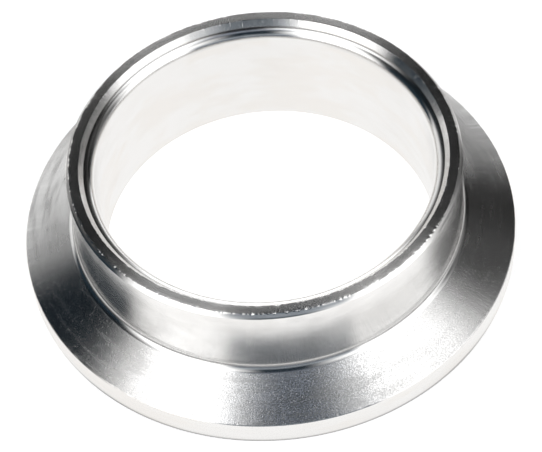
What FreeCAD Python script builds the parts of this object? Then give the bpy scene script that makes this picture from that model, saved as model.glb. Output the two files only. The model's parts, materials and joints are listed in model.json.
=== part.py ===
import FreeCAD, Part

import math
import os

os.makedirs("parts", exist_ok=True)

# Driving sizes in millimetres, angles in degrees. The flange is one turned ring about Z: it stands
# on its flat sealing face at Z = 0, with the clamping rim below and the tube collar above.

# The tube that is welded into the collar. Its bore is the flange's bore, and its outside, with a
# clearance on the diameter, is the socket.
tube_diameter = 63.5
tube_wall = 1.65
socket_clearance = 0.1

# The collar stands out over the tube, and the rim stands out over the collar.
collar_wall = 3.175
rim_reach = 9.525

overall_height = 23.2
land_height = 4.76
clamp_angle = 22.0
root_radius = 1.8

# Inside the mouth: a chamfer for the weld, a short socket wall, and the narrow seat for the tube's
# end. The seat slopes down a little towards the bore, and a round leads from it into the bore.
mouth_chamfer_width = 0.8
mouth_chamfer_height = 1.0
socket_wall_height = 0.15
seat_width = 0.3
seat_slope = 13.0

# The collar's outer corner has a bevel that is a little higher than it is wide.
collar_bevel_width = 0.6
collar_bevel_height = 0.75

# Small edge breaks on the rim's two corners and on the bore's lower corner.
edge_break = 0.15


def point(radius, height):
    """A point of the turned outline, at a radius from the axis and a height over the sealing face."""
    return FreeCAD.Vector(radius, 0.0, height)


def straight_run(corners):
    """Straight edges from corner to corner."""
    return [Part.LineSegment(start, end).toShape() for start, end in zip(corners, corners[1:])]


def arc_about(centre, radius, first_angle, last_angle):
    """An arc about a centre, from one angle to another, counted up from the outward direction."""
    def at(angle):
        turn = math.radians(angle)
        return centre + point(radius * math.cos(turn), radius * math.sin(turn))

    return Part.Arc(at(first_angle), at((first_angle + last_angle) / 2.0), at(last_angle)).toShape()


def end_points(edge):
    """The first and last points of an edge, in the order in which it was drawn."""
    return edge.valueAt(edge.FirstParameter), edge.valueAt(edge.LastParameter)


def root_arc(rim_radius, collar_radius):
    """The hollow round between the cone and the collar's wall, tangent to both."""
    slope = math.radians(clamp_angle)
    centre_radius = collar_radius + root_radius
    cone_radius = centre_radius - root_radius * math.sin(slope)
    cone_height = land_height + (rim_radius - cone_radius) * math.tan(slope)
    centre = point(centre_radius, cone_height + root_radius * math.cos(slope))
    return arc_about(centre, root_radius, 270.0 - clamp_angle, 180.0)


def lead_in_arc(seat_inner_radius, seat_inner_height, bore_radius):
    """The round between the sloping seat and the bore, tangent to both."""
    slope = math.radians(seat_slope)
    radius = (seat_inner_radius - bore_radius) / (1.0 - math.sin(slope))
    centre = point(bore_radius + radius, seat_inner_height - radius * math.cos(slope))
    return arc_about(centre, radius, 90.0 + seat_slope, 180.0)


def rim_corners(rim_radius, bore_radius):
    """Corners from the bore's lower edge out along the sealing face, and up the rim to its cone."""
    slope = math.radians(clamp_angle)
    up_the_cone = point(-math.cos(slope), math.sin(slope))
    return [
        point(bore_radius, edge_break),
        point(bore_radius + edge_break, 0.0),
        point(rim_radius - edge_break, 0.0),
        point(rim_radius, edge_break),
        point(rim_radius, land_height - edge_break),
        point(rim_radius, land_height) + up_the_cone * edge_break,
    ]


def collar_corners(collar_radius, socket_radius):
    """Corners from the collar's wall over its bevel, its top face and the mouth's chamfer, and down
    the socket wall."""
    chamfer_low = overall_height - mouth_chamfer_height
    return [
        point(collar_radius, overall_height - collar_bevel_height),
        point(collar_radius - collar_bevel_width, overall_height),
        point(socket_radius + mouth_chamfer_width, overall_height),
        point(socket_radius, chamfer_low),
        point(socket_radius, chamfer_low - socket_wall_height),
    ]


def flange():
    """The whole flange: one closed outline turned once round the axis."""
    bore_radius = tube_diameter / 2.0 - tube_wall
    socket_radius = (tube_diameter + socket_clearance) / 2.0
    collar_radius = tube_diameter / 2.0 + collar_wall
    rim_radius = collar_radius + rim_reach

    seat_outer_height = overall_height - mouth_chamfer_height - socket_wall_height
    seat_inner_height = seat_outer_height - seat_width * math.tan(math.radians(seat_slope))

    root = root_arc(rim_radius, collar_radius)
    lead_in = lead_in_arc(socket_radius - seat_width, seat_inner_height, bore_radius)

    root_start, root_end = end_points(root)
    lead_in_start, lead_in_end = end_points(lead_in)

    rim = rim_corners(rim_radius, bore_radius)
    collar = collar_corners(collar_radius, socket_radius)

    edges = straight_run(rim + [root_start])
    edges.append(root)
    edges += straight_run([root_end] + collar + [lead_in_start])
    edges.append(lead_in)
    edges += straight_run([lead_in_end, rim[0]])

    outline = Part.Face(Part.Wire(edges))
    axis_point = point(0.0, 0.0)
    axis_direction = point(0.0, 1.0)
    return outline.revolve(axis_point, axis_direction, 360.0)


body = flange()
body.exportStep("parts/flange.step")
print("flange:", body.ShapeType, "valid", body.isValid(), "volume", round(body.Volume, 1), body.BoundBox)
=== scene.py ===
import json
import math

import bpy
import numpy as np
from mathutils import Matrix, Vector


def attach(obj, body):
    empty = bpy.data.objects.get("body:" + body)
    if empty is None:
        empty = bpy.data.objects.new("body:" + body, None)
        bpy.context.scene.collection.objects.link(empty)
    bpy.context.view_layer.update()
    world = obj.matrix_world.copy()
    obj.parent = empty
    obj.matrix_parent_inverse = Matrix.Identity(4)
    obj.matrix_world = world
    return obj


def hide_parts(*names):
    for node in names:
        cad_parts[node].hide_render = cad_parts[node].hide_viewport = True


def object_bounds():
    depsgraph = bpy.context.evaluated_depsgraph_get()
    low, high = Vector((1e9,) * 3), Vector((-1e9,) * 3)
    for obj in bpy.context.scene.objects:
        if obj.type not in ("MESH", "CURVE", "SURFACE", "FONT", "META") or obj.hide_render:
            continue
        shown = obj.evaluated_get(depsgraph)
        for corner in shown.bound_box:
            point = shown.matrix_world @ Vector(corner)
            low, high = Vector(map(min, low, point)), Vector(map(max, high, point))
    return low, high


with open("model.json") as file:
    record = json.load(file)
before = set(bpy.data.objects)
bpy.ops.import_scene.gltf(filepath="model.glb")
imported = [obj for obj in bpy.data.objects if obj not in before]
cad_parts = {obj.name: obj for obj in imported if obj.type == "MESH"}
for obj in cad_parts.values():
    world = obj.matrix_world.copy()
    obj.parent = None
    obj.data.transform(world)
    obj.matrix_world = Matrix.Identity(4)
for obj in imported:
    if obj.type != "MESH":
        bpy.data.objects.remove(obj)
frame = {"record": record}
cad_low, cad_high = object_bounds()

MM = 0.001
white = (1.0, 1.0, 1.0, 1.0)
black = (0.0, 0.0, 0.0, 1.0)

# Sizes of the flange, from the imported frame. It is one turned ring about Z that stands on Z = 0.
mounts = {mount["name"]: mount for mount in frame["record"]["mounts"]}
rim_radius = min(-cad_low.x, cad_high.x, -cad_low.y, cad_high.y)
overall_height = cad_high.z
bore_radius = mounts["bore"]["dims"]["r_mm"] * MM
socket_radius = mounts["tube_socket"]["dims"]["r_mm"] * MM
collar_radius = mounts["collar"]["dims"]["r_mm"] * MM

# Sizes of the turned outline that the frame's record doesn't give.
land_height = 4.76 * MM
clamp_angle = math.radians(22.0)
root_radius = 1.8 * MM
mouth_chamfer_width = 0.8 * MM
mouth_chamfer_height = 1.0 * MM
socket_wall_height = 0.15 * MM
seat_width = 0.3 * MM
seat_slope = math.radians(13.0)
bevel_width = 0.6 * MM
bevel_height = 0.75 * MM
edge_break = 0.15 * MM

# How far the middle of the bevel lies under its edges. It is a guess from the way the bevel shines.
bevel_hollow = 0.03 * MM

# Columns of the mesh round the axis, how far the first and second support rows stand from a corner, and
# the angle between two faces from which their edge is sharp.
columns = 1290
first_support = 0.06 * MM
second_support = 0.18 * MM
sharp_angle = math.radians(30.0)


def straight(start, end, rows):
    """Points of a straight stretch from start up to, but without, end: the start, a row at the first
    support distance past it, rows spread evenly between the second support distances from both ends, and
    a row at the first support distance short of the end. On a short stretch those distances are at most
    0.2 and 0.4 of its length."""
    start, end = np.array(start), np.array(end)
    length = np.linalg.norm(end - start)
    first = min(first_support / length, 0.2)
    second = min(second_support / length, 0.4)
    between = np.linspace(second, 1.0 - second, rows - 3)
    share = np.concatenate([[0.0, first], between, [1.0 - first]])
    return start + share[:, None] * (end - start)


def hollow(start, end, depth, rows):
    """Points of a nearly straight stretch that dips into the metal: the straight stretch's points, each
    moved along the inward normal by 4 * depth * s * (1 - s), where s is its share of the length."""
    points = straight(start, end, rows)
    run = np.array(end) - np.array(start)
    length = np.linalg.norm(run)
    share = (points - np.array(start)) @ run / length**2
    inward = np.array([-run[1], run[0]]) / length
    return points + (4.0 * depth * share * (1.0 - share))[:, None] * inward


def round_about(centre, radius, first, last, rows):
    """Points of an arc about a centre, at centre + radius * (cos a, sin a), for angles a that run evenly
    from first up to, but without, last."""
    angle = np.radians(np.linspace(first, last, rows, endpoint=False))
    return np.array(centre) + radius * np.stack([np.cos(angle), np.sin(angle)], axis=1)


def flange_outline():
    """The closed outline of the ring's section as named stretches of (radius, height) points, counted
    outwards along the sealing face, up the rim and collar, over the top and down through the bore. The
    last number of each stretch is how many rows of the mesh it has."""
    slope_run = np.array([-math.cos(clamp_angle), math.sin(clamp_angle)])
    root_centre_radius = collar_radius + root_radius
    cone_end_radius = root_centre_radius - root_radius * math.sin(clamp_angle)
    cone_end = (
        cone_end_radius,
        land_height + (rim_radius - cone_end_radius) * math.tan(clamp_angle),
    )
    root_centre = (root_centre_radius, cone_end[1] + root_radius * math.cos(clamp_angle))
    chamfer_low_height = overall_height - mouth_chamfer_height
    seat_outer_height = chamfer_low_height - socket_wall_height
    seat_inner_height = seat_outer_height - seat_width * math.tan(seat_slope)
    seat_inner_radius = socket_radius - seat_width
    lead_in_round = (seat_inner_radius - bore_radius) / (1.0 - math.sin(seat_slope))

    bore_low = (bore_radius, edge_break)
    sealing_inner = (bore_radius + edge_break, 0.0)
    sealing_outer = (rim_radius - edge_break, 0.0)
    land_low = (rim_radius, edge_break)
    land_top = (rim_radius, land_height - edge_break)
    cone_start = tuple(np.array([rim_radius, land_height]) + edge_break * slope_run)
    bevel_low = (collar_radius, overall_height - bevel_height)
    bevel_high = (collar_radius - bevel_width, overall_height)
    chamfer_high = (socket_radius + mouth_chamfer_width, overall_height)
    chamfer_low = (socket_radius, chamfer_low_height)
    seat_outer = (socket_radius, seat_outer_height)
    seat_inner = (seat_inner_radius, seat_inner_height)
    lead_in_centre = (
        bore_radius + lead_in_round,
        seat_inner_height - lead_in_round * math.cos(seat_slope),
    )
    lead_in_low = (bore_radius, lead_in_centre[1])

    root_low_angle = 270.0 - math.degrees(clamp_angle)
    seat_angle = 90.0 + math.degrees(seat_slope)
    return {
        "bore_break": straight(bore_low, sealing_inner, 3),
        "sealing_face": straight(sealing_inner, sealing_outer, 5),
        "foot_break": straight(sealing_outer, land_low, 3),
        "land": straight(land_low, land_top, 5),
        "land_break": straight(land_top, cone_start, 3),
        "cone": straight(cone_start, cone_end, 6),
        "root": round_about(root_centre, root_radius, root_low_angle, 180.0, 8),
        "collar_wall": straight((collar_radius, root_centre[1]), bevel_low, 5),
        "bevel": hollow(bevel_low, bevel_high, bevel_hollow, 7),
        "top_face": straight(bevel_high, chamfer_high, 7),
        "mouth": straight(chamfer_high, chamfer_low, 5),
        "socket_wall": straight(chamfer_low, seat_outer, 3),
        "seat": straight(seat_outer, seat_inner, 3),
        "lead_in": round_about(lead_in_centre, lead_in_round, seat_angle, 180.0, 8),
        "bore_wall": straight(lead_in_low, bore_low, 5),
    }


# The finishes in the order of the ring's material slots, and the finish of each stretch of the outline.
finishes = ["faced_steel", "cone_steel", "wall_steel", "mouth_steel", "bored_steel"]
finish_of = {
    "bore_break": "bored_steel",
    "sealing_face": "faced_steel",
    "foot_break": "faced_steel",
    "land": "bored_steel",
    "land_break": "bored_steel",
    "cone": "cone_steel",
    "root": "wall_steel",
    "collar_wall": "wall_steel",
    "bevel": "wall_steel",
    "top_face": "faced_steel",
    "mouth": "mouth_steel",
    "socket_wall": "bored_steel",
    "seat": "bored_steel",
    "lead_in": "wall_steel",
    "bore_wall": "bored_steel",
}

# Wear of the corners at which these stretches start: the depth of the fine chatter and of the deepest
# nicks in millimetres, and how many nicks there are round the ring.
worn_corners = {
    "top_face": (0.034, 0.14, 240),
    "mouth": (0.024, 0.11, 180),
    "cone": (0.010, 0.06, 80),
}

# The wear of the far side as a share of that of the side towards -Y, how many numbers round the ring the
# chatter's swell runs through, the least and the most reach of a nick along its corner in radians, and
# the least number, from 0 to 1, whose square is a nick's share of the greatest depth.
far_side_wear = 0.35
chatter_swells = 150
nick_reach = (0.002, 0.005)
least_nick = 0.2
wear_seed = 7


def corner_wear(source, angle, chatter, nick_depth, nick_count):
    """Depth of metal lost at each column of a worn corner, stronger on the side towards -Y. The chatter
    is the size of a random number at each column, averaged with its neighbours, times a swell that runs
    evenly from one random number between 0 and 2 to the next. Each nick adds depth * exp(-(d / reach)^2),
    where d is the angle from the nick to the column."""
    side = far_side_wear + (1.0 - far_side_wear) * np.sqrt(0.5 - 0.5 * np.sin(angle))
    swell = source.uniform(0.0, 2.0, chatter_swells)
    place = np.arange(len(angle)) * chatter_swells / len(angle)
    swell = np.interp(place, np.arange(chatter_swells), swell)
    rough = np.abs(source.standard_normal(len(angle)))
    rough = (np.roll(rough, 1) + 2.0 * rough + np.roll(rough, -1)) / 4.0
    nick_angle = source.uniform(0.0, 2.0 * math.pi, nick_count)
    reach = source.uniform(*nick_reach, nick_count)
    depth = nick_depth * source.uniform(least_nick, 1.0, nick_count) ** 2
    away = np.abs((angle[:, None] - nick_angle + math.pi) % (2.0 * math.pi) - math.pi)
    nicks = (depth * np.exp(-((away / reach) ** 2))).sum(axis=1)
    return side * (chatter * swell * rough + nicks)


def worn_points(section, outline, angle):
    """Radius and height of every row and column. At a worn corner the points of its row move into the
    metal by the corner's wear, along the line that halves the corner, and the rows beside it half as
    far."""
    radius = section[:, 0][:, None] + np.zeros(len(angle))
    height = section[:, 1][:, None] + np.zeros(len(angle))
    step = np.roll(section, -1, axis=0) - section
    outward = np.stack([step[:, 1], -step[:, 0]], axis=1)
    outward /= np.linalg.norm(outward, axis=1, keepdims=True)
    source = np.random.default_rng(wear_seed)
    first_row = 0
    for stretch, points in outline.items():
        if stretch in worn_corners:
            chatter, nick_depth, nick_count = worn_corners[stretch]
            depth = MM * corner_wear(source, angle, chatter, nick_depth, nick_count)
            halving = outward[first_row - 1] + outward[first_row]
            halving /= np.linalg.norm(halving)
            for row, share in ((first_row - 1, 0.5), (first_row, 1.0), (first_row + 1, 0.5)):
                radius[row] -= share * depth * halving[0]
                height[row] -= share * depth * halving[1]
        first_row += len(points)
    return radius, height


def ring_faces(rows):
    """Four point numbers for the face between each row and column and the next ones. The point of a row
    and column has the number row * columns + column, and the last row and column join the first."""
    row = np.arange(rows)[:, None]
    column = np.arange(columns)[None, :]
    next_row = (row + 1) % rows
    next_column = (column + 1) % columns
    corners = [
        row * columns + column,
        row * columns + next_column,
        next_row * columns + next_column,
        next_row * columns + column,
    ]
    return np.stack(corners, axis=2).reshape(-1, 4)


def ring_map(section):
    """The places on the flat map of each face's corners, and the outline's length. A place is the share
    of the turn round the axis and the share of the outline's length."""
    step = np.linalg.norm(np.roll(section, -1, axis=0) - section, axis=1)
    run = np.concatenate([[0.0], np.cumsum(step)])
    turn = np.arange(columns + 1) / columns
    left, right = turn[None, :-1], turn[None, 1:]
    low, high = run[:-1][:, None], run[1:][:, None]
    u = np.stack([left, right, right, left], axis=2) + np.zeros((len(section), 1, 1))
    v = np.stack([low, low, high, high], axis=2) + np.zeros((1, columns, 1))
    return np.stack([u, v / run[-1]], axis=3), run[-1]


def turned_ring(name, outline):
    """A surface of revolution: the point of outline row i and column j is (r cos t, r sin t, z), with
    r and z the row's radius and height and t the column's angle. Rows and columns both close, and the
    worn corners lose a little metal. The outline's length is given back with the ring."""
    section = np.concatenate(list(outline.values()))
    angle = np.linspace(0.0, 2.0 * math.pi, columns, endpoint=False)
    radius, height = worn_points(section, outline, angle)
    points = np.stack([radius * np.cos(angle), radius * np.sin(angle), height], axis=2)
    faces = ring_faces(len(section))
    rows_of_stretch = [len(stretch) for stretch in outline.values()]
    finish_of_stretch = [finishes.index(finish_of[stretch]) for stretch in outline]
    finish_of_row = np.repeat(finish_of_stretch, rows_of_stretch)

    mesh = bpy.data.meshes.new(name)
    mesh.vertices.add(len(section) * columns)
    mesh.vertices.foreach_set("co", points.reshape(-1))
    mesh.loops.add(faces.size)
    mesh.loops.foreach_set("vertex_index", faces.reshape(-1))
    mesh.polygons.add(len(faces))
    mesh.polygons.foreach_set("loop_start", np.arange(0, faces.size, 4))
    mesh.polygons.foreach_set("material_index", np.repeat(finish_of_row, columns))
    mesh.update(calc_edges=True)

    flat_places, outline_length = ring_map(section)
    layer = mesh.uv_layers.new(name="turning")
    layer.data.foreach_set("uv", flat_places.reshape(-1))

    mesh.shade_smooth()
    mesh.set_sharp_from_angle(angle=sharp_angle)
    ring = bpy.data.objects.new(name, mesh)
    bpy.context.scene.collection.objects.link(ring)
    return ring, outline_length


class Nodes:
    """Short calls that add nodes to one node tree and link them."""

    def __init__(self, tree):
        self.tree = tree
        self.tree.nodes.clear()

    def add(self, kind, settings=None, **inputs):
        """A node of a kind, with its settings, and its inputs set or linked by name."""
        node = self.tree.nodes.new(kind)
        for name, value in (settings or {}).items():
            setattr(node, name, value)
        for name, value in inputs.items():
            self.feed(node.inputs[name.replace("_", " ")], value)
        return node

    def feed(self, socket, value):
        """Sets an input socket to a value, or links it if the value is an output socket."""
        if isinstance(value, bpy.types.NodeSocket):
            self.tree.links.new(value, socket)
        else:
            socket.default_value = value

    def math(self, operation, *values):
        """A Math node's result."""
        node = self.add("ShaderNodeMath", {"operation": operation})
        for socket, value in zip(node.inputs, values):
            self.feed(socket, value)
        return node.outputs[0]

    def product(self, first, *others):
        """The first value times all the others."""
        for other in others:
            first = self.math("MULTIPLY", first, other)
        return first

    def total(self, first, *others):
        """The first value plus all the others."""
        for other in others:
            first = self.math("ADD", first, other)
        return first

    def vector(self, operation, *values):
        """A Vector Math node, for its Vector or Value output."""
        node = self.add("ShaderNodeVectorMath", {"operation": operation})
        for socket, value in zip(node.inputs, values):
            self.feed(socket, value)
        return node

    def noise(self, place, scale, detail):
        """Noise about 0.5 at a place, with about scale features to the metre."""
        node = self.add("ShaderNodeTexNoise", Vector=place, Scale=scale, Detail=detail)
        return node.outputs["Fac"]

    def mix_colour(self, share, first, second):
        """The first colour where share is 0 and the second where it is 1. The Mix node keeps its colours
        at inputs 6 and 7 and at output 2, after those for numbers and vectors."""
        node = self.add("ShaderNodeMix", {"data_type": "RGBA", "blend_type": "MIX"})
        self.feed(node.inputs[0], share)
        self.feed(node.inputs[6], first)
        self.feed(node.inputs[7], second)
        return node.outputs[2]

    def ramp(self, value, start, end, first=0.0, last=1.0):
        """The first number where value is at or below start, the last where it is at or above end, and
        smooth between."""
        node = self.add("ShaderNodeMapRange", {"interpolation_type": "SMOOTHSTEP"})
        numbers = (("From Min", start), ("From Max", end), ("To Min", first), ("To Max", last))
        for name, number in numbers:
            node.inputs[name].default_value = number
        self.feed(node.inputs["Value"], value)
        return node.outputs[0]


def soft_panel(net, bearing, rise, middle_bearing, half_width, low, high, side_fade, end_fade):
    """How much of a soft panel a ray from the object meets, from 0 to 1. The panel is a range of bearings
    and a range of elevations, in degrees, and its two pairs of sides fade over their own widths."""
    away = net.math("WRAP", net.math("SUBTRACT", bearing, middle_bearing), 180.0, -180.0)
    away = net.math("ABSOLUTE", away)
    across = net.ramp(away, half_width - side_fade, half_width + side_fade, 1.0, 0.0)
    middle_rise = (low + high) / 2.0
    half_height = (high - low) / 2.0
    off = net.math("ABSOLUTE", net.math("SUBTRACT", rise, middle_rise))
    upward = net.ramp(off, half_height - end_fade, half_height + end_fade, 1.0, 0.0)
    return net.product(across, upward)


# The studio as the object sees it: the unlit room, and in front of it the panels, which are soft lights,
# greys and dark shades, each one over those before it. A panel has its bearing, half width, lowest and
# highest elevation, and the fades at its sides and at its ends, all in degrees, and its colour. Bearings
# count from +X towards +Y, and the camera is at 270.
unlit_room = (0.011, 0.011, 0.011, 1.0)
studio_panels = {
    "room_behind_camera": (270.0, 60.0, 15.0, 70.0, 10.0, 5.0, (0.01, 0.02, 0.03, 1.0)),
    "left_back_shade": (150.0, 30.0, 30.0, 60.0, 5.0, 5.0, (0.01, 0.015, 0.02, 1.0)),
    "back_sweep": (75.0, 30.0, -20.0, 30.0, 5.0, 5.0, (2.2, 2.2, 2.2, 1.0)),
    "left_softbox": (220.0, 25.0, 5.0, 60.0, 15.0, 5.0, (2.2, 2.2, 2.2, 1.0)),
    "left_overhead": (180.0, 50.0, 60.0, 85.0, 15.0, 5.0, (2.2, 2.2, 2.2, 1.0)),
    "right_softbox": (335.0, 40.0, -5.0, 60.0, 15.0, 15.0, (1.6, 1.6, 1.6, 1.0)),
    "right_overhead": (10.0, 45.0, 60.0, 80.0, 5.0, 5.0, (2.2, 2.2, 2.2, 1.0)),
    "left_back_grey": (130.0, 20.0, -20.0, 30.0, 5.0, 10.0, (1.0, 1.0, 1.0, 1.0)),
    "right_back_shade": (40.0, 35.0, 10.0, 40.0, 5.0, 15.0, (0.02, 0.02, 0.02, 1.0)),
    "right_back_glow": (40.0, 10.0, 35.0, 55.0, 5.0, 5.0, (0.08, 0.08, 0.08, 1.0)),
    "front_low_grey": (275.0, 30.0, -5.0, 20.0, 5.0, 5.0, (0.14, 0.16, 0.19, 1.0)),
    "front_strip": (275.0, 30.0, 20.0, 30.0, 5.0, 5.0, (0.5, 0.55, 0.6, 1.0)),
    "left_shade": (170.0, 20.0, 5.0, 30.0, 5.0, 5.0, (0.02, 0.035, 0.05, 1.0)),
    "right_grey": (10.0, 15.0, 5.0, 35.0, 10.0, 10.0, (0.15, 0.15, 0.15, 1.0)),
    "zenith_grey": (280.0, 80.0, 75.0, 85.0, 5.0, 10.0, (0.45, 0.5, 0.6, 1.0)),
}


def studio_world():
    """The studio round the object: a white sweep at the back, soft panels to the left and right and
    overhead, and the unlit room behind the camera. The camera itself sees plain white."""
    world = bpy.data.worlds.new("studio")
    world.use_nodes = True
    net = Nodes(world.node_tree)
    ray = net.add("ShaderNodeTexCoord").outputs["Generated"]
    parts = net.add("ShaderNodeSeparateXYZ", Vector=ray).outputs
    degree = 180.0 / math.pi
    bearing = net.math("MULTIPLY", net.math("ARCTAN2", parts["Y"], parts["X"]), degree)
    rise = net.math("MULTIPLY", net.math("ARCSINE", parts["Z"]), degree)

    colour = unlit_room
    for *extent, panel_colour in studio_panels.values():
        colour = net.mix_colour(soft_panel(net, bearing, rise, *extent), colour, panel_colour)

    seen = net.add("ShaderNodeLightPath").outputs["Is Camera Ray"]
    colour = net.mix_colour(seen, colour, white)
    background = net.add("ShaderNodeBackground", Color=colour, Strength=1.0)
    net.add("ShaderNodeOutputWorld", Surface=background.outputs[0])
    bpy.context.scene.world = world


# Distances from the axis over which the floor, as the metal mirrors it, changes: where its bright part
# close to the ring gets brighter and where it ends, where its far part begins, and where it lightens
# again in front of the ring. The painted contact shadow under the rim's foot, a dark ring painted into
# the floor as the metal mirrors it, has a radius and two half widths, within the first of which it is
# darkest and outside the second of which it has ended.
close_brightens = (47.0 * MM, 51.0 * MM)
close_ends = (55.0 * MM, 72.0 * MM)
far_begins = (110.0 * MM, 140.0 * MM)
front_begins = (120.0 * MM, 160.0 * MM)
foot_shadow_radius = 44.2 * MM
foot_shadow_edges = (0.3 * MM, 0.7 * MM)


def floor_in_the_metal(net, place, distance):
    """How bright the metal mirrors the floor, by distance from the axis and by how far backwards a place
    lies, from -1 straight in front of the ring to 1 straight behind it. Close to the ring the floor is
    bright all round. Further off it is bright behind the ring, dark beside it and a little lighter again
    far in front, and in front a narrow ring under the rim's foot is darkened as a painted contact shadow."""
    along_y = net.vector("DOT_PRODUCT", place, (0.0, 1.0, 0.0)).outputs["Value"]
    backwards = net.math("DIVIDE", along_y, distance)
    close = net.product(
        net.ramp(distance, *close_brightens, 1.13, 1.38), net.ramp(distance, *close_ends, 1.0, 0.0)
    )
    middle = net.product(
        net.ramp(backwards, 0.60, 0.95, 0.36, 1.00),
        net.ramp(distance, *close_ends),
        net.ramp(distance, *far_begins, 1.0, 0.0),
    )
    front = net.product(
        net.ramp(backwards, -0.90, -0.60, 0.45, 0.0), net.ramp(distance, *front_begins)
    )
    far = net.product(net.ramp(backwards, 0.50, 0.60, 0.14, 1.20), net.ramp(distance, *far_begins))

    # Painted contact shadow: a narrow dark ring under the rim's foot, on the front side, painted into the
    # floor as the metal mirrors it.
    off_foot_shadow = net.math("ABSOLUTE", net.math("SUBTRACT", distance, foot_shadow_radius))
    painted_foot_shadow = net.product(
        net.ramp(off_foot_shadow, *foot_shadow_edges, 0.80, 0.0), net.ramp(backwards, -0.75, -0.45, 1.0, 0.0)
    )
    return net.product(net.total(far, front, middle, close), net.math("SUBTRACT", 1.0, painted_foot_shadow))


def floor_material():
    """Plain white paper. The camera sees it lifted to white, a little more inside the bore, and it keeps
    its shadow. The metal mirrors it with a brightness of its own."""
    material = bpy.data.materials.new("white_paper")
    material.use_nodes = True
    net = Nodes(material.node_tree)
    path = net.add("ShaderNodeLightPath").outputs
    grain = net.add("ShaderNodeTexNoise", Scale=40.0, Detail=2.0).outputs["Fac"]
    tone = net.mix_colour(grain, (0.80, 0.80, 0.80, 1.0), (0.82, 0.82, 0.82, 1.0))
    paper = net.add("ShaderNodeBsdfDiffuse", Color=tone)
    place = net.add("ShaderNodeTexCoord").outputs["Object"]
    distance = net.vector("LENGTH", place).outputs["Value"]
    bore_lift, outer_lift = 0.62, 0.50
    amount = net.ramp(distance, 30.0 * MM, 42.0 * MM, bore_lift, outer_lift)
    lift = net.add("ShaderNodeEmission", Strength=net.product(path["Is Camera Ray"], amount))
    seen = net.add("ShaderNodeAddShader")
    net.feed(seen.inputs[0], paper.outputs[0])
    net.feed(seen.inputs[1], lift.outputs[0])

    warm_white = (1.0, 0.992, 0.983, 1.0)
    brightness = floor_in_the_metal(net, place, distance)
    mirrored = net.add("ShaderNodeEmission", Color=warm_white, Strength=brightness)
    both = net.add("ShaderNodeMixShader", Fac=path["Is Glossy Ray"])
    net.feed(both.inputs[1], seen.outputs[0])
    net.feed(both.inputs[2], mirrored.outputs[0])
    net.add("ShaderNodeOutputMaterial", Surface=both.outputs[0])
    return material


def floor():
    """A plain square floor that the flange stands on."""
    half = 2.0
    mesh = bpy.data.meshes.new("floor")
    corners = [(-half, -half, 0.0), (half, -half, 0.0), (half, half, 0.0), (-half, half, 0.0)]
    mesh.from_pydata(corners, [], [(0, 1, 2, 3)])
    mesh.materials.append(floor_material())
    plane = bpy.data.objects.new("floor", mesh)
    bpy.context.scene.collection.objects.link(plane)


def ring_noise(net, outward, run, along, pitch, detail):
    """Noise that is drawn out round the ring or across it: along is how many of its features meet one
    radian of the turn, and pitch the size of one feature along the outline."""
    parts = net.add("ShaderNodeSeparateXYZ", Vector=outward).outputs
    where = net.add(
        "ShaderNodeCombineXYZ",
        X=net.math("MULTIPLY", parts["X"], along),
        Y=net.math("MULTIPLY", parts["Y"], along),
        Z=net.math("DIVIDE", run, pitch),
    ).outputs["Vector"]
    noise = net.add("ShaderNodeTexNoise", Vector=where, Scale=1.0, Detail=detail, Roughness=0.6)
    return noise.outputs["Fac"]


def steel_relief(net, place, outward, run, look):
    """Height of the steel's fine relief: turning lines and grain, less the depth of short scratches
    across the lines and of pits."""
    lines = ring_noise(net, outward, run, 7.0, 0.14 * MM, 3.0)
    grain = net.noise(place, 5600.0, 0.0)
    scratches = net.ramp(ring_noise(net, outward, run, 120.0, 2.5 * MM, 2.0), 0.66, 0.74)
    pits = net.ramp(net.noise(place, 3600.0, 0.0), 0.68, 0.76)
    relief = net.math("MULTIPLY", lines, look["lines"] * MM)
    relief = net.math("MULTIPLY_ADD", grain, look["grain"] * MM, relief)
    relief = net.math("MULTIPLY_ADD", scratches, -look["scratches"] * MM, relief)
    return net.math("MULTIPLY_ADD", pits, -look["pits"] * MM, relief)


def steel_haze(net, place, outward, run):
    """Haze of handling, from 0 to 2: cloudy patches, and streaks that are drawn out round the ring."""
    patches = net.ramp(net.noise(place, 140.0, 2.0), 0.48, 0.74)
    streaks = net.ramp(ring_noise(net, outward, run, 4.0, 1.2 * MM, 2.0), 0.45, 0.72)
    return net.total(patches, streaks)


def steel_specks(net, place, outward, strength):
    """Fine dark specks, from 0 to their strength. They gather in clouds and on the side towards -Y."""
    specks = net.ramp(net.noise(place, 4400.0, 0.0), 0.38, 0.62)
    clouds = net.ramp(net.noise(place, 75.0, 1.0), 0.35, 0.65, 0.3, 1.0)
    frontwards = net.vector("DOT_PRODUCT", outward, (0.0, -1.0, 0.0)).outputs["Value"]
    front_side = net.ramp(frontwards, 0.5, 0.95, 0.1, 1.0)
    return net.product(specks, clouds, front_side, strength)


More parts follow.
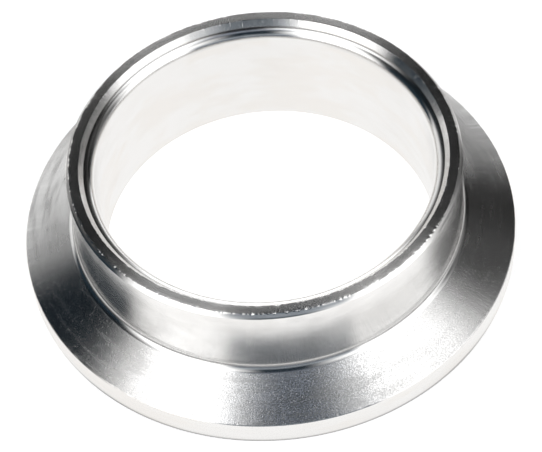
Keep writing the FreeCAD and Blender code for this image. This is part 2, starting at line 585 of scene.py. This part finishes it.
def turned_steel(name, outline_length, look):
    """Bright turned steel. Its fine lines run round the axis, so light spreads across them. Haze roughens
    and stains it, specks roughen and darken it, and its tone drifts between a clean and a stained one. In
    the bore the stained tone is a painted reflection, a brown that stands in for the brownish reflections
    in the bore wall."""
    material = bpy.data.materials.new(name)
    material.use_nodes = True
    net = Nodes(material.node_tree)
    place = net.add("ShaderNodeTexCoord").outputs["Object"]
    flat = net.vector("MULTIPLY", place, (1.0, 1.0, 0.0)).outputs["Vector"]
    outward = net.vector("NORMALIZE", flat).outputs["Vector"]
    around = net.vector("CROSS_PRODUCT", (0.0, 0.0, 1.0), outward).outputs["Vector"]
    uv = net.add("ShaderNodeUVMap", {"uv_map": "turning"}).outputs["UV"]
    run = net.product(net.add("ShaderNodeSeparateXYZ", Vector=uv).outputs["Y"], outline_length)

    relief = steel_relief(net, place, outward, run, look)
    bump = net.add("ShaderNodeBump", Strength=1.0, Distance=1.0, Height=relief)
    haze = steel_haze(net, place, outward, run)
    specks = steel_specks(net, place, outward, look["specks"])
    drift = net.ramp(ring_noise(net, outward, run, 2.0, 7.0 * MM, 3.0), 0.42, 0.62)
    # The second tone is partly painted reflection: in the bore it is a brown that stands in for the
    # brownish reflections in the bore wall.
    tone = net.mix_colour(drift, look["tone"], look["stain_and_reflection"])
    tone = net.mix_colour(net.product(haze, haze_stain_and_reflection), tone, look["stain_and_reflection"])
    tone = net.mix_colour(specks, tone, black)
    roughness = net.math("MULTIPLY_ADD", haze, look["haze"], look["roughness"])
    steel = net.add(
        "ShaderNodeBsdfPrincipled",
        Base_Color=tone,
        Metallic=1.0,
        Roughness=net.math("MULTIPLY_ADD", specks, speck_roughness, roughness),
        Anisotropic=1.0,
        Anisotropic_Rotation=0.25,
        Tangent=around,
        Normal=bump.outputs["Normal"],
    )
    net.add("ShaderNodeOutputMaterial", Surface=steel.outputs[0])
    return material


def photo_camera():
    """A long lens that looks down at the ring at the photograph's angle, turned a little about its own
    line of sight."""
    location = Vector((0.0, -260.43, 334.53)) * MM
    pitch = math.radians(51.85)
    heading = math.radians(0.037)
    roll = math.radians(-5.615)
    ahead = Vector(
        (math.sin(heading) * math.cos(pitch), math.cos(heading) * math.cos(pitch), -math.sin(pitch))
    )
    level = Vector((math.cos(heading), -math.sin(heading), 0.0))
    upright = level.cross(ahead)
    right = math.cos(roll) * level + math.sin(roll) * upright
    up = right.cross(ahead)

    lens = bpy.data.cameras.new("photo_camera")
    lens.sensor_width = 36.0
    lens.lens = 153.8
    lens.clip_start = 0.01
    lens.clip_end = 20.0
    camera = bpy.data.objects.new("photo_camera", lens)
    turn = Matrix((right, up, -ahead)).transposed().to_4x4()
    camera.matrix_world = Matrix.Translation(location) @ turn
    bpy.context.scene.collection.objects.link(camera)
    bpy.context.scene.camera = camera


# Steel's own tone, clean and stained; the bore's second tone is a brown painted reflection, which stands
# in for the brownish reflections in the bore wall. Also how much of the second tone shows where the haze
# is 1, and how much a fully black speck would add to the roughness.
clean_tone = (0.808, 0.804, 0.798, 1.0)
dull_tone = (0.742, 0.735, 0.726, 1.0)
brown_reflection_tone = (0.792, 0.776, 0.756, 1.0)
haze_stain_and_reflection = 0.2
speck_roughness = 0.4

# Each finish: its roughness and how much haze adds to that, its tones, the depth in millimetres of its
# turning lines, grain, cross scratches and pits, and how dark its specks are.
finish_looks = {
    "faced_steel": {
        "roughness": 0.213, "haze": 0.02, "tone": clean_tone, "stain_and_reflection": dull_tone,
        "lines": 0.0008, "grain": 0.0024, "scratches": 0.0040, "pits": 0.0040, "specks": 0.12,
    },
    "cone_steel": {
        "roughness": 0.180, "haze": 0.09, "tone": clean_tone, "stain_and_reflection": dull_tone,
        "lines": 0.0008, "grain": 0.0050, "scratches": 0.0010, "pits": 0.0036, "specks": 0.26,
    },
    "wall_steel": {
        "roughness": 0.130, "haze": 0.02, "tone": clean_tone, "stain_and_reflection": dull_tone,
        "lines": 0.0003, "grain": 0.0006, "scratches": 0.0003, "pits": 0.0008, "specks": 0.01,
    },
    "mouth_steel": {
        "roughness": 0.172, "haze": 0.02, "tone": clean_tone, "stain_and_reflection": dull_tone,
        "lines": 0.0008, "grain": 0.0020, "scratches": 0.0080, "pits": 0.0030, "specks": 0.05,
    },
    # Painted reflection: the bore's second tone is a brown that stands in for the brownish reflections in
    # the bore wall.
    "bored_steel": {
        "roughness": 0.155, "haze": 0.02, "tone": clean_tone, "stain_and_reflection": brown_reflection_tone,
        "lines": 0.0004, "grain": 0.0006, "scratches": 0.0002, "pits": 0.0006, "specks": 0.01,
    },
}

outline = flange_outline()
ring, outline_length = turned_ring("turned_flange", outline)
for finish in finishes:
    ring.data.materials.append(turned_steel(finish, outline_length, finish_looks[finish]))
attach(ring, "root")
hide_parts("flange")

floor()
studio_world()
photo_camera()
bpy.context.scene.view_settings.view_transform = "Standard"
